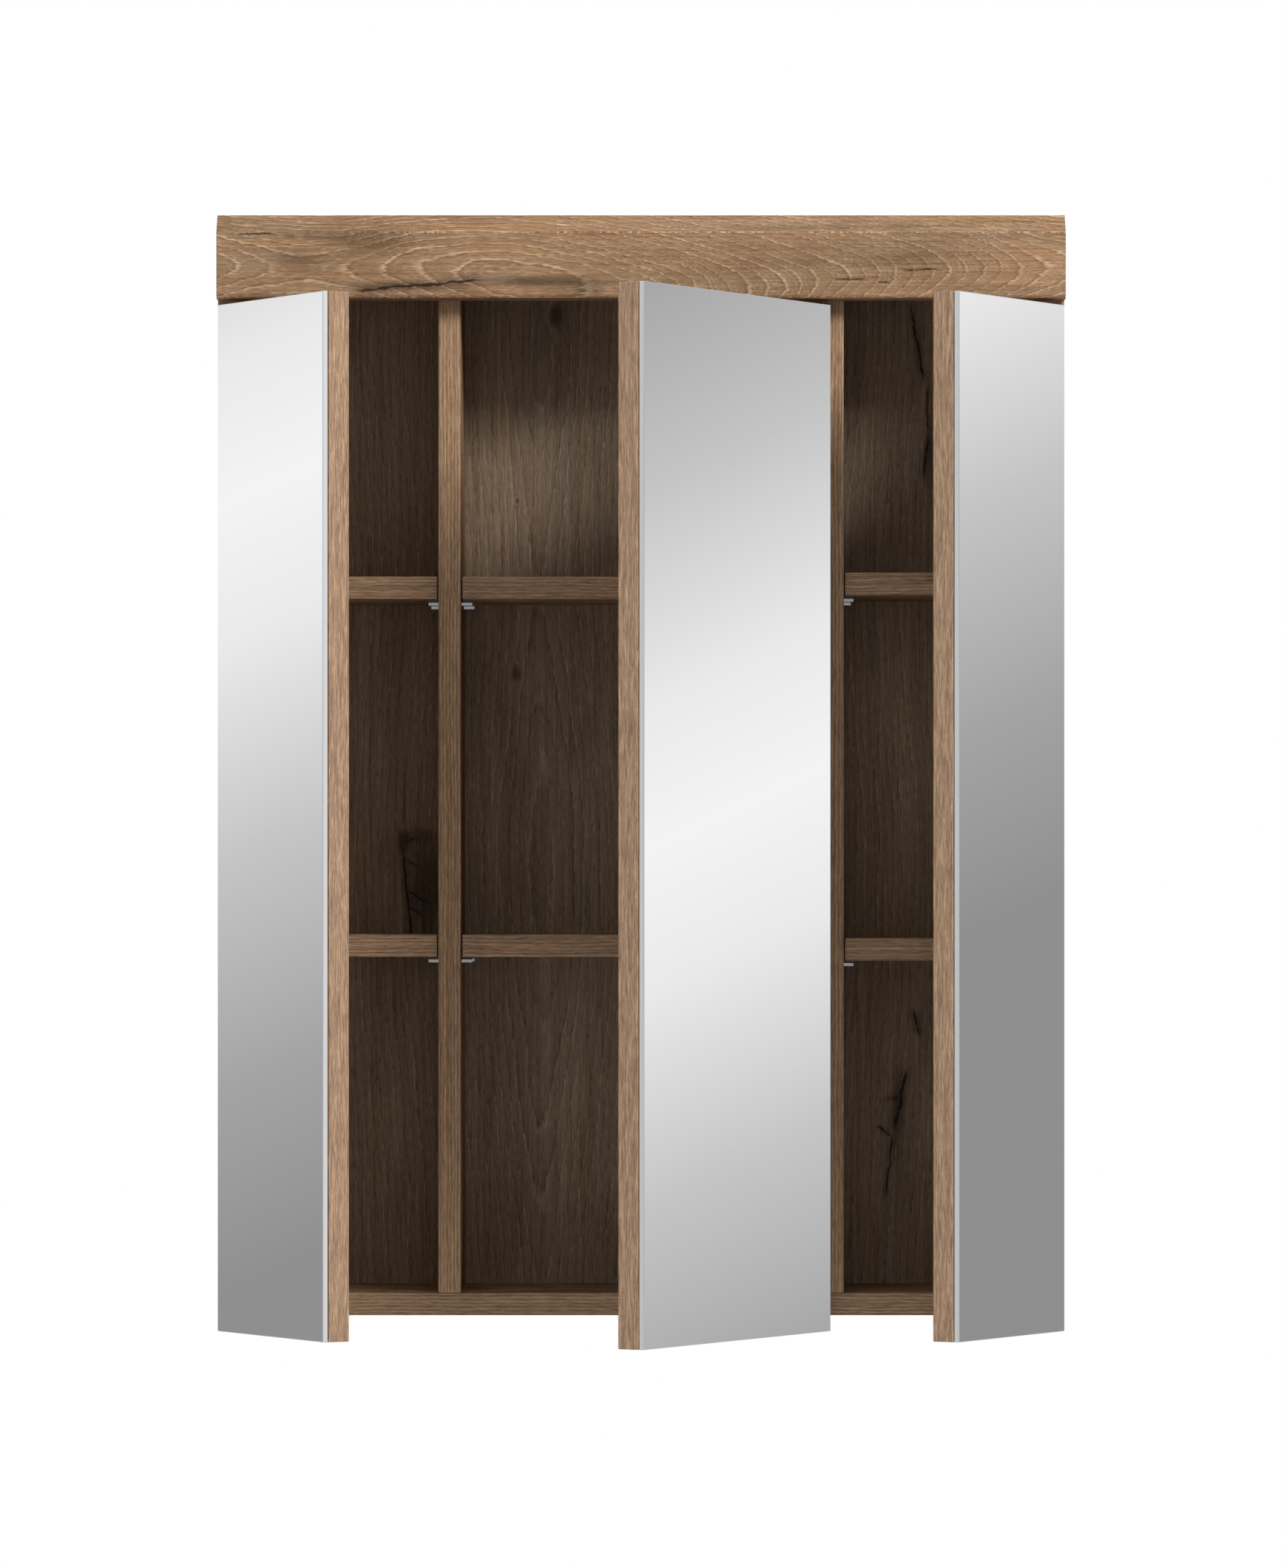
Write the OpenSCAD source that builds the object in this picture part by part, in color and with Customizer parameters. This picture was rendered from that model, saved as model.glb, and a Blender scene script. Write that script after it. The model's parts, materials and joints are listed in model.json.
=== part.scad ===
// Wall-hung bathroom mirror cabinet with three hinged mirror doors, modelled with its doors standing open.
// The origin lies midway between the two hanger holes, in the plane of the wall. +Z is up and -Y faces
// the room.

/* [Carcass] */
// Width over the two side panels
cabinet_w = 600; // [580:1:680]
// Height of the side panels
cabinet_h = 790; // [760:1:860]
// Depth of the side panels
carcass_d = 148; // [138:1:180]
// Thickness of the carcass boards
board_t = 16; // [15:0.5:18]
// Height of the bottom panel's underside above the feet of the side panels
bottom_lift = 10.6; // [6:0.1:18]
// Thickness of the back panel
back_t = 3; // [2.5:0.5:4]
// Space left behind the back panel for the wall hooks
back_recess = 7; // [5:0.5:9]
// Depth of the grooves that hold the back panel
groove_depth = 6; // [4:0.5:7]
// Clearance of the back panel in its grooves
groove_gap = 0.15; // [0.1:0.05:0.3]

/* [Crown] */
// Height of the crown board
crown_h = 60; // [50:1:70]
// Height of the bevel along the crown's top front edge
crown_bevel_h = 13; // [6:0.5:18]
// Depth of that bevel
crown_bevel_d = 15.5; // [6:0.5:18]
// Radius along the crown's lower front edge
crown_edge_r = 3; // [1:0.5:5]
// Gap between the crown and the doors
crown_gap = 4; // [3:0.5:6]
// Leg of the steel angles behind the crown
angle_leg = 18; // [16:1:20]
// Width of those angles
angle_w = 30; // [24:1:40]
// Thickness of those angles
angle_t = 1.5; // [1:0.1:2]
// Distance of the angles from the middle of the cabinet
angle_x = 210; // [190:1:230]

/* [Shelves] */
// Thickness of a shelf
shelf_t = 16; // [15:0.5:18]
// Distance of a shelf's front edge behind the front of the carcass
shelf_setback = 4.5; // [2:0.5:8]
// Gap behind a shelf
shelf_rear_gap = 0.5; // [0.3:0.1:2]
// Gap at each end of a shelf
shelf_end_gap = 0.75; // [0.5:0.05:1.2]
// Height of the lower shelves' undersides above the feet of the side panels
shelf_low = 264.6; // [240:0.2:290]
// Distance from the lower shelves up to the upper ones
shelf_pitch = 254; // [235:1:270]
// How much lower the right bay's lower shelf sits
right_low_drop = 2.6; // [0:0.2:6]
// How much higher the right bay's upper shelf sits
right_high_lift = 2.8; // [0:0.2:6]
// Thickness of a shelf support's plate
plate_t = 2; // [1.5:0.1:3]
// Reach of a support's plate into the bay
plate_reach = 7.5; // [6:0.5:10]
// Length of a support's plate along its panel
plate_l = 10; // [8:0.5:14]
// Thickness of the soft pad on a support
pad_t = 2; // [1:0.1:3]
// Diameter of a support's peg
peg_d = 5; // [4:0.5:6]
// Length of a peg in its panel
peg_l = 7; // [5:0.5:7]
// Distance of the front supports behind the front of the carcass
support_y = 30; // [24:1:40]
// Distance from the front supports to the rear ones
support_pitch = 76; // [60:1:90]

/* [Carcass fittings] */
// Diameter of a cam lock
cam_d = 15; // [12:0.5:16]
// Depth of a cam lock in its board
cam_depth = 12; // [11:0.5:13]
// Distance of a cam lock from the end of its board
cam_inset = 24; // [20:1:34]
// Distance of the cam locks from the front and rear of the board
cam_edge = 32; // [28:1:40]
// Diameter of a cam bolt
cam_bolt_d = 5; // [4:0.5:6]
// Diameter of a dowel
dowel_d = 8; // [6:0.5:8]
// Length of a dowel
dowel_l = 24; // [20:1:28]
// Diameter of the screws through the top and bottom into the partitions
long_screw_d = 5; // [4:0.5:6]
// Length of those screws below their heads
long_screw_l = 40; // [34:1:50]
// Diameter of the small wood screws
wood_screw_d = 3.5; // [3:0.1:4]
// Length of the small wood screws below their heads
wood_screw_l = 12; // [8:0.5:13]

/* [Hanging] */
// Width of a corner hanger plate
hanger_w = 36; // [32:1:44]
// Thickness of a corner hanger plate
hanger_t = 1.5; // [1:0.1:2]
// Diameter of the hole that hangs on a wall hook
hanger_hole_d = 8; // [6:0.5:10]
// Distance of that hole's centre from the side and top panels
hanger_inset = 12; // [10:0.5:14]

/* [Doors] */
// Width of each side door
side_door_w = 163; // [155:1:180]
// Gap between neighbouring doors
door_gap = 2.5; // [2:0.1:4]
// Thickness of a door board
door_t = 16; // [15:0.5:18]
// Thickness of the mirror glass
mirror_t = 4; // [3:0.5:5]
// Thickness of the adhesive tape behind the mirror
tape_t = 0.5; // [0.3:0.1:1]
// Distance of the tape from the mirror's edges
tape_inset = 12; // [6:1:30]
// Width of a strip of tape
tape_w = 25; // [15:1:40]
// Space between a closed door board and the carcass
door_standoff = 1.5; // [1.4:0.1:2]
// Height of the soft bumpers on the doors
bumper_t = 1.1; // [0.8:0.1:1.3]
// Diameter of a bumper
bumper_d = 4.5; // [4:0.5:6]
// Distance of the bumpers' centres from the free edge of a door
bumper_inset = 4.5; // [4.5:0.1:5]
// Angle that the doors stand open by
door_open = 60.6; // [0:0.2:95]

/* [Hinges] */
// Distance of the hinges from the ends of a door
hinge_inset = 95; // [80:1:110]
// Diameter of a hinge cup
cup_d = 35; // [34.5:0.1:35.5]
// Depth of a hinge cup in its door
cup_depth = 11.5; // [11.5:0.1:12.5]
// Distance of a cup's bore from the edge of the door
cup_edge = 5; // [4.8:0.1:5.2]
// Wall of a hinge cup
cup_wall = 0.8; // [0.6:0.05:0.8]
// Thickness of a cup's flange on the back of the door
flange_t = 0.8; // [0.6:0.05:0.8]
// Distance between the two screws of a cup
cup_screw_pitch = 48; // [45:1:52]
// Diameter of the hinge pins
pin_d = 3; // [2.6:0.1:3.2]
// Clearance of a link's eyes round the pins
pin_gap = 0.05; // [0.02:0.01:0.1]
// Distance of the arm's pin from the plane of the door's hinged edge
arm_pin_x = 35.4; // [35.2:0.1:35.6]
// Distance of the arm's pin behind the front of the carcass
arm_pin_y = 14; // [13.8:0.1:14.2]
// Distance of the cup's pin from the door's hinged edge
cup_pin_x = 10.3; // [10.2:0.05:10.4]
// Depth of the cup's pin in the door board
cup_pin_depth = 7.1; // [7:0.05:7.2]
// Thickness of a link's curved strips
link_t = 2.2; // [1.8:0.1:2.3]
// How much a link turns back for each degree that its door turns
link_share = 0.25; // [0.245:0.001:0.255]
// Height of an arm's base above its panel
arm_rise = 18; // [16:0.5:20]
// Length of an arm behind its pin
arm_l = 48; // [44:1:54]
// Thickness of an arm's sheet
arm_wall = 1.2; // [1:0.1:1.3]
// Diameter of the screws that hold an arm on its mounting plate
arm_screw_d = 4; // [3:0.5:5]

/* [Hidden] */

LEFT = 0;
MIDDLE = 1;
RIGHT = 2;
BAYS = [LEFT, MIDDLE, RIGHT];
LOW = 0;
HIGH = 1;
eps = 0.01;

wood_colour = [0.62, 0.50, 0.39];
inner_colour = [0.42, 0.33, 0.26];
steel_colour = [0.75, 0.76, 0.78];
glass_colour = [0.80, 0.84, 0.86];
pad_colour = [0.12, 0.12, 0.13];

half_w = cabinet_w / 2;
inner_x = half_w - board_t;
front_y = -carcass_d;
feet_z = -(cabinet_h - board_t - hanger_inset);
top_z = feet_z + cabinet_h;
ceiling_z = top_z - board_t;
floor_z = feet_z + bottom_lift + board_t;
back_y = -(back_recess + back_t);
partition_x = half_w - side_door_w - door_gap / 2;
middle_door_w = cabinet_w - 2 * (side_door_w + door_gap);
door_depth = door_standoff + door_t + tape_t + mirror_t;
door_h = cabinet_h - crown_h - crown_gap;

// Left and right faces of a bay, from the left one to the right one
function bay_x(bay) =
    bay == LEFT ? [-inner_x, -partition_x - board_t / 2] :
    bay == MIDDLE ? [-partition_x + board_t / 2, partition_x - board_t / 2] :
    [partition_x + board_t / 2, inner_x];

function shelf_z(bay, level) =
    feet_z + shelf_low + (level == HIGH ? shelf_pitch : 0)
    + (bay == RIGHT ? (level == HIGH ? right_high_lift : -right_low_drop) : 0);

// Positions of the four supports under a shelf, each as [x of the panel's face, y, z, way into the panel]
function support_spots(bay) = [
    for (level = [LOW, HIGH], side = [0, 1], row = [0, 1])
        [bay_x(bay)[side], front_y + support_y + row * support_pitch,
         shelf_z(bay, level) - pad_t - plate_t / 2, side == 0 ? -1 : 1]];

// Heights of the panels that lie between the side panels, each as [centre height, way to its hidden face]
LEVELS = [[top_z - board_t / 2, 1], [floor_z - board_t / 2, -1]];
cam_rows = [front_y + cam_edge, -cam_edge - back_recess];
dowel_row = (cam_rows[0] + cam_rows[1]) / 2;
long_screw_rows = [front_y + cam_edge, -cam_edge - back_recess];
long_head_d = 2 * long_screw_d;
long_head_t = long_screw_d / 2;
wood_head_d = 2 * wood_screw_d;
wood_head_t = 0.6 * wood_screw_d;
bumper_rise = 20;
pad_gap = 1;

// A box between two corners
module block(low, high) {
    translate(low) cube(high - low);
}

// A round bar between two points that differ along one axis
module bar(from, to, d) {
    way = to - from;
    translate(from)
        rotate(way.x != 0 ? [0, way.x > 0 ? 90 : -90, 0] :
               way.y != 0 ? [way.y > 0 ? -90 : 90, 0, 0] : [way.z > 0 ? 0 : 180, 0, 0])
            cylinder(h = norm(way), d = d, $fn = 48);
}

module back_groove() {
    block([-inner_x - groove_depth, back_y - groove_gap, floor_z - groove_depth],
          [inner_x + groove_depth, back_y + back_t + groove_gap, ceiling_z + groove_depth]);
}

module peg_holes(bay) {
    for (s = support_spots(bay))
        bar([s.x - s[3] * eps, s.y, s.z], [s.x + s[3] * (peg_l + 0.5), s.y, s.z], peg_d);
}

// The cam bolts and dowels that join the top and bottom panels to the side panel on one side
module cam_bolt_holes(side) {
    for (level = LEVELS, y = cam_rows)
        bar([side * (inner_x - eps), y, level[0]], [side * (inner_x + board_t * 0.7), y, level[0]],
            cam_bolt_d);
}

module dowel_holes() {
    for (level = LEVELS, side = [-1, 1])
        bar([side * (inner_x - dowel_l / 2), dowel_row, level[0]],
            [side * (inner_x + dowel_l / 2), dowel_row, level[0]], dowel_d);
    crown_dowels();
}

module crown_dowels() {
    for (side = [-1, 1], z = crown_dowel_heights)
        bar([side * (half_w - board_t / 2), front_y - dowel_l / 2, z],
            [side * (half_w - board_t / 2), front_y + dowel_l / 2, z], dowel_d);
}
crown_dowel_heights = [top_z - crown_h * 0.25, top_z - crown_h * 0.75];

// A flat-headed screw: the top of its head lies in the plane of the origin and its shank points down
module screw_body(l = wood_screw_l, d = wood_screw_d, head_d = wood_head_d, head_t = wood_head_t) {
    rotate_extrude($fn = 48)
        polygon([[0, 0], [head_d / 2, 0], [d / 2, -head_t], [d / 2, -l], [0, -l]]);
}

module flat_screw(l = wood_screw_l, d = wood_screw_d, head_d = wood_head_d, head_t = wood_head_t) {
    slot_w = head_d / 9;
    difference() {
        screw_body(l, d, head_d, head_t);
        for (turn = [0, 90])
            rotate(turn)
                translate([-head_d / 4, -slot_w / 2, -head_t / 2]) cube([head_d / 2, slot_w, head_t]);
    }
}

// Places for the small screws: each is [head's centre, turn that points the shank into the wood]
TO_FRONT = [-90, 0, 0];
TO_TOP = [180, 0, 0];
hanger_screw_in = (groove_depth + board_t) / 2 - 1;
hanger_lap = hanger_w * 0.36;
hanger_screws = [
    for (side = [-1, 1], spot = [[inner_x + hanger_screw_in, ceiling_z - hanger_inset],
                                 [inner_x - hanger_inset, ceiling_z + hanger_screw_in]])
        [[side * spot[0], 0, spot[1]], TO_FRONT]];
angle_screws = [
    for (side = [-1, 1], spot = [[[front_y + angle_t, ceiling_z - angle_leg * 0.6], TO_FRONT],
                                 [[front_y + angle_leg * 0.6, ceiling_z - angle_t], TO_TOP]], dx = [-1, 1])
        [[side * angle_x + dx * angle_w / 4, spot[0][0], spot[0][1]], spot[1]]];
long_screws = [
    for (side = [-1, 1], y = long_screw_rows, end = [[top_z, [0, 0, 0]], [floor_z - board_t, TO_TOP]])
        [[side * partition_x, y, end[0]], end[1]]];

module small_screw_spaces() {
    for (s = concat(hanger_screws, angle_screws)) translate(s[0]) rotate(s[1]) screw_body();
}

module long_screw_spaces() {
    for (s = long_screws)
        translate(s[0]) rotate(s[1]) screw_body(long_screw_l, long_screw_d, long_head_d, long_head_t);
}

// Carcass boards

module side_panel(side, bay) {
    difference() {
        block([side > 0 ? inner_x : -half_w, front_y, feet_z], [side > 0 ? half_w : -inner_x, 0, top_z]);
        back_groove();
        peg_holes(bay);
        cam_bolt_holes(side);
        dowel_holes();
        hanger_rebate();
        small_screw_spaces();
        hinge_plate_holes();
    }
}

module left_side_panel() {
    color(wood_colour) side_panel(-1, LEFT);
}

module right_side_panel() {
    color(wood_colour) side_panel(1, RIGHT);
}

// The board between the side panels at one of the LEVELS
module level_panel(level) {
    difference() {
        block([-inner_x, front_y, level[0] - board_t / 2], [inner_x, 0, level[0] + board_t / 2]);
        back_groove();
        cam_spaces(level);
        dowel_holes();
        hanger_rebate();
        small_screw_spaces();
        long_screw_spaces();
    }
}

module top_panel() {
    color(wood_colour) level_panel(LEVELS[0]);
}

module bottom_panel() {
    color(wood_colour) level_panel(LEVELS[1]);
}

module partition(side) {
    difference() {
        block([side * partition_x - board_t / 2, front_y, floor_z],
              [side * partition_x + board_t / 2, back_y, ceiling_z]);
        for (bay = BAYS) peg_holes(bay);
        long_screw_spaces();
        hinge_plate_holes();
    }
}

module left_partition() {
    color(inner_colour) partition(-1);
}

module right_partition() {
    color(inner_colour) partition(1);
}

module back_panel() {
    reach = groove_depth - 2 * groove_gap;
    color(inner_colour)
        block([-inner_x - reach, back_y, floor_z - reach],
              [inner_x + reach, back_y + back_t, ceiling_z + reach]);
}

// The crown's profile is drawn as [depth from its front, height from its underside]
module crown_board() {
    arc = [for (a = [270:-15:180]) [crown_edge_r * (1 + cos(a)), crown_edge_r * (1 + sin(a))]];
    profile = concat([[door_depth, 0]], arc,
                     [[0, crown_h - crown_bevel_h], [crown_bevel_d, crown_h], [door_depth, crown_h]]);
    color(wood_colour)
        difference() {
            translate([-half_w, front_y - door_depth, top_z - crown_h])
                rotate([90, 0, 90]) linear_extrude(cabinet_w) polygon(profile);
            crown_dowels();
            small_screw_spaces();
        }
}

module crown_angles() {
    color(steel_colour)
        for (side = [-1, 1])
            difference() {
                translate([side * angle_x - angle_w / 2, front_y, ceiling_z])
                    union() {
                        translate([0, 0, -angle_leg]) cube([angle_w, angle_t, angle_leg]);
                        translate([0, 0, -angle_t]) cube([angle_w, angle_leg, angle_t]);
                    }
                small_screw_spaces();
            }
}

// Fittings that join the carcass

module cam_spaces(level) {
    for (side = [-1, 1], y = cam_rows) {
        cam_blank(side, y, level, cam_d + 0.2);
        cam_bolt_passage(side, y, level);
    }
}

module cam_blank(side, y, level, d) {
    bar([side * (inner_x - cam_inset), y, level[0] + level[1] * (board_t / 2 - cam_depth)],
        [side * (inner_x - cam_inset), y, level[0] + level[1] * board_t / 2], d);
}

module cam_bolt_passage(side, y, level) {
    bar([side * (inner_x - cam_inset - cam_bolt_d * 0.4), y, level[0]],
        [side * (inner_x + eps), y, level[0]], cam_bolt_d * 1.6);
}

module cam_locks() {
    color(steel_colour)
        for (level = LEVELS, side = [-1, 1], y = cam_rows)
            difference() {
                cam_blank(side, y, level, cam_d);
                cam_bolt_passage(side, y, level);
                translate([side * (inner_x - cam_inset), y, level[0] + level[1] * board_t / 2])
                    for (turn = [45, 135]) rotate(turn) cube([cam_d * 0.5, 1.4, 2.4], center = true);
            }
}

// Each bolt's head fills its cam, and its thread sits in the side panel
module cam_bolts() {
    neck_x = inner_x - cam_inset + cam_d * 0.2;
    color(steel_colour)
        for (level = LEVELS, side = [-1, 1], y = cam_rows) {
            bar([side * neck_x, y, level[0]], [side * (inner_x + board_t * 0.7), y, level[0]], cam_bolt_d);
            bar([side * (inner_x - cam_inset - cam_bolt_d * 0.3), y, level[0]],
                [side * neck_x, y, level[0]], cam_bolt_d * 1.56);
        }
}

module dowels() {
    color(wood_colour) dowel_holes();
}

module partition_screws() {
    color(steel_colour)
        for (s = long_screws)
            translate(s[0]) rotate(s[1]) flat_screw(long_screw_l, long_screw_d, long_head_d, long_head_t);
}

module bracket_screws() {
    color(steel_colour)
        for (s = concat(hanger_screws, angle_screws)) translate(s[0]) rotate(s[1]) flat_screw();
}

module hanger_blank(side) {
    edge_x = inner_x + hanger_lap;
    block([side > 0 ? edge_x - hanger_w : -edge_x, -hanger_t, ceiling_z + hanger_lap - hanger_w],
          [side > 0 ? edge_x : hanger_w - edge_x, 0, ceiling_z + hanger_lap]);
}

module hanger_rebate() {
    for (side = [-1, 1]) hanger_blank(side);
}

module hanger_plates() {
    color(steel_colour)
        for (side = [-1, 1])
            difference() {
                hanger_blank(side);
                bar([side * (inner_x - hanger_inset), -hanger_t - eps, ceiling_z - hanger_inset],
                    [side * (inner_x - hanger_inset), eps, ceiling_z - hanger_inset], hanger_hole_d);
                small_screw_spaces();
            }
}

// Shelves and what carries them

module shelf(bay, level) {
    x = bay_x(bay);
    z = shelf_z(bay, level);
    color(inner_colour)
        block([x[0] + shelf_end_gap, front_y + shelf_setback, z],
              [x[1] - shelf_end_gap, back_y - shelf_rear_gap, z + shelf_t]);
}

module shelf_supports(bay) {
    color(steel_colour)
        for (s = support_spots(bay)) {
            bar([s.x, s.y, s.z], [s.x + s[3] * peg_l, s.y, s.z], peg_d);
            block([min(s.x, s.x - s[3] * plate_reach), s.y - plate_l / 2, s.z - plate_t / 2],
                  [max(s.x, s.x - s[3] * plate_reach), s.y + plate_l / 2, s.z + plate_t / 2]);
        }
}

module shelf_support_pads() {
    color(pad_colour)
        for (bay = BAYS, s = support_spots(bay))
            block([min(s.x - s[3] * pad_gap, s.x - s[3] * plate_reach),
                   s.y - plate_l * 0.45, s.z + plate_t / 2],
                  [max(s.x - s[3] * pad_gap, s.x - s[3] * plate_reach),
                   s.y + plate_l * 0.45, s.z + plate_t / 2 + pad_t]);
}

// Doors. Each is drawn closed in hinge coordinates, where x runs from its hinged edge along the door
// and y from the front of the carcass into the cabinet, and is then swung open.

function door_w(door) = door == MIDDLE ? middle_door_w : side_door_w;
function hinge_edge(door) = door == LEFT ? -half_w : door == MIDDLE ? partition_x - door_gap / 2 : half_w;

module at_hinge(door) {
    translate([hinge_edge(door), front_y, 0])
        if (door == LEFT) children();
        else mirror([1, 0, 0]) children();
}

module on_door(door) {
    at_hinge(door)
        translate(door_pin) rotate(-door_open) translate(-cup_pin) children();
}

module door_board(door) {
    color(wood_colour)
        on_door(door)
            difference() {
                block([0, -door_standoff - door_t, feet_z],
                      [door_w(door), -door_standoff, feet_z + door_h]);
                for (z = hinge_heights) translate([0, 0, z]) {
                    cup_bore();
                    cup_screw_spaces();
                }
            }
}

module door_mirror(door) {
    color(glass_colour)
        on_door(door)
            block([0, -door_depth, feet_z], [door_w(door), mirror_t - door_depth, feet_z + door_h]);
}

// A ring of tape near the edges of the mirror
module mirror_tape(door) {
    color(pad_colour)
        on_door(door)
            difference() {
                tape_sheet(door, tape_inset, 0);
                tape_sheet(door, tape_inset + tape_w, eps);
            }
}

module tape_sheet(door, inset, extra) {
    block([inset, mirror_t - door_depth - extra, feet_z + inset],
          [door_w(door) - inset, mirror_t + tape_t - door_depth + extra, feet_z + door_h - inset]);
}

module bumpers(door) {
    color(pad_colour)
        on_door(door)
            for (z = [feet_z + bumper_rise, feet_z + door_h - bumper_rise])
                bar([door_w(door) - bumper_inset, -door_standoff, z],
                    [door_w(door) - bumper_inset, bumper_t - door_standoff, z], bumper_d);
}

// Hinges. A curved link turns on a pin in the arm, and the door's cup turns on a pin at the link's other
// end. The link swings back by a fixed share of the door's angle, which carries the door clear of its
// neighbour.

hinge_heights = [feet_z + hinge_inset, feet_z + door_h - hinge_inset];
cup_x = cup_edge + cup_d / 2;
arm_pin = [arm_pin_x, arm_pin_y, 0];
cup_pin = [cup_pin_x, -door_standoff - cup_pin_depth, 0];
arm_handle = [8, 24, 0];
cup_handle = [27.8, -14.7, 0];
link_eye_r = 2.5;
cheek_z = 4.7;
cheek_t = 1.5;
side_gap = 0.3;
arm_z = cheek_z + cheek_t + side_gap;
cup_half = arm_z + arm_wall + side_gap;
arm_eye_r = 4;
link_steps = 16;
link_start = 0.34;
plate_screw_y = 37;
plate_screw_z = 16;
plate_base_t = 2;
plate_wing_w = 16;
plate_wing_end = 3;
plate_screw_d = 5;
plate_screw_l = 11;
plate_head_d = 1.7 * plate_screw_d;
plate_head_t = plate_base_t * 0.9;
arm_front = 9;
arm_bend = 20;
ridge_front = arm_pin_y + arm_l * 0.375;
arm_screw_rows = [arm_pin_y + arm_l * 0.52, arm_pin_y + arm_l * 0.835];
cup_screw_offset = 6;
cup_screw_l = 10;

function turned(v, a) = [v.x * cos(a) - v.y * sin(a), v.x * sin(a) + v.y * cos(a), 0];
door_pin = arm_pin + turned(cup_pin - arm_pin, link_share * door_open);

// Distance from a door's hinged edge to the face of the panel that carries its arms
function panel_face(door) = door == MIDDLE ? (board_t - door_gap) / 2 : board_t;

// Middle line of a link when its door is shut, as a cubic curve from the arm's pin to the cup's
function link_point(t) =
    pow(1 - t, 3) * arm_pin + 3 * t * pow(1 - t, 2) * (arm_pin + arm_handle)
    + 3 * t * t * (1 - t) * (cup_pin + cup_handle) + t * t * t * cup_pin;

function link_side(t, offset) =
    let (way = link_point(t + 0.01) - link_point(t - 0.01), unit = way / norm(way))
    link_point(t) + offset * [-unit.y, unit.x, 0];

module link_outline() {
    ways = [for (i = [0:link_steps]) link_start + (1 - link_start) * i / link_steps];
    sides = concat([for (t = ways) link_side(t, link_t / 2)],
                   [for (i = [link_steps:-1:0]) link_side(ways[i], -link_t / 2)]);
    polygon([for (p = sides) [p.x, p.y]]);
    root = [sides[0], sides[1], arm_pin - [0, link_eye_r, 0], arm_pin + [0, link_eye_r, 0]];
    polygon([for (p = root) [p.x, p.y]]);
    for (pin = [arm_pin, cup_pin]) translate(pin) circle(link_eye_r, $fn = 48);
}

// Two curved cheeks joined by a sleeve round each pin
module hinge_link() {
    difference() {
        union() {
            for (low = [cheek_z, -cheek_z - cheek_t])
                translate([0, 0, low]) linear_extrude(cheek_t) link_outline();
            for (pin = [arm_pin, cup_pin])
                translate(pin - [0, 0, cheek_z + cheek_t / 2])
                    cylinder(h = 2 * cheek_z + cheek_t, r = link_eye_r - 0.2, $fn = 48);
        }
        for (pin = [arm_pin, cup_pin])
            translate(pin - [0, 0, arm_z]) cylinder(h = 2 * arm_z, d = pin_d + 2 * pin_gap, $fn = 48);
    }
}

module hinge_links(door) {
    color(steel_colour)
        at_hinge(door)
            translate(arm_pin) rotate(link_share * door_open) translate(-arm_pin)
                for (z = hinge_heights) translate([0, 0, z]) hinge_link();
}

// Side view of an arm, from the eye round its pin back along the panel
module arm_outline(door) {
    base = panel_face(door) + arm_rise;
    low = panel_face(door) + arm_rise / 3;
    translate(arm_pin) circle(arm_eye_r, $fn = 48);
    polygon([[arm_pin.x - arm_eye_r, arm_pin.y], [arm_pin.x + arm_eye_r, arm_pin.y],
             [arm_pin.x + arm_eye_r, arm_pin.y + arm_front], [base, arm_pin.y + arm_bend],
             [base, arm_pin.y + arm_l], [low, arm_pin.y + arm_l], [low, ridge_front],
             [arm_pin.x - arm_eye_r, arm_pin.y + arm_front - 1]]);
}

module arm_web_outline(door) {
    base = panel_face(door) + arm_rise;
    front = arm_pin.x + arm_eye_r;
    polygon([[front, arm_pin.y + arm_front], [base, arm_pin.y + arm_bend], [base, arm_pin.y + arm_l],
             [base - arm_wall, arm_pin.y + arm_l], [base - arm_wall, arm_pin.y + arm_bend - arm_wall / 2],
             [front - arm_wall, arm_pin.y + arm_front]]);
}

module hinge_arm(door) {
    difference() {
        union() {
            for (low = [arm_z, -arm_z - arm_wall])
                translate([0, 0, low]) linear_extrude(arm_wall) arm_outline(door);
            translate([0, 0, -arm_z - arm_wall / 2])
                linear_extrude(2 * arm_z + arm_wall) arm_web_outline(door);
        }
        bar(arm_pin - [0, 0, cup_half], arm_pin + [0, 0, cup_half], pin_d);
        arm_screw_spaces(door);
    }
}

module arm_screw_spaces(door) {
    base = panel_face(door) + arm_rise;
    for (y = arm_screw_rows) bar([base - arm_rise * 0.6, y, 0], [base + eps, y, 0], arm_screw_d);
}

module hinge_arms() {
    color(steel_colour)
        for (door = BAYS)
            at_hinge(door)
                for (z = hinge_heights) translate([0, 0, z]) hinge_arm(door);
}

module hinge_arm_pins() {
    half = arm_z + arm_wall;
    color(steel_colour)
        for (door = BAYS)
            at_hinge(door)
                for (z = hinge_heights)
                    translate([0, 0, z]) bar(arm_pin - [0, 0, half], arm_pin + [0, 0, half], pin_d);
}

module hinge_arm_screws() {
    color(steel_colour)
        for (door = BAYS)
            at_hinge(door)
                for (z = hinge_heights, y = arm_screw_rows)
                    translate([panel_face(door) + arm_rise, y, z]) arm_screw();
}

// A screw whose shank points along -X into the mounting plate
module arm_screw() {
    head_d = 2 * arm_screw_d;
    head_t = arm_screw_d / 2;
    bar([-arm_rise * 0.6, 0, 0], [0, 0, 0], arm_screw_d);
    difference() {
        bar([0, 0, 0], [head_t, 0, 0], head_d);
        for (turn = [0, 90])
            translate([head_t, 0, 0])
                rotate([turn, 0, 0]) cube([head_t, head_d * 0.6, head_d / 9], center = true);
    }
}

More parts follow.
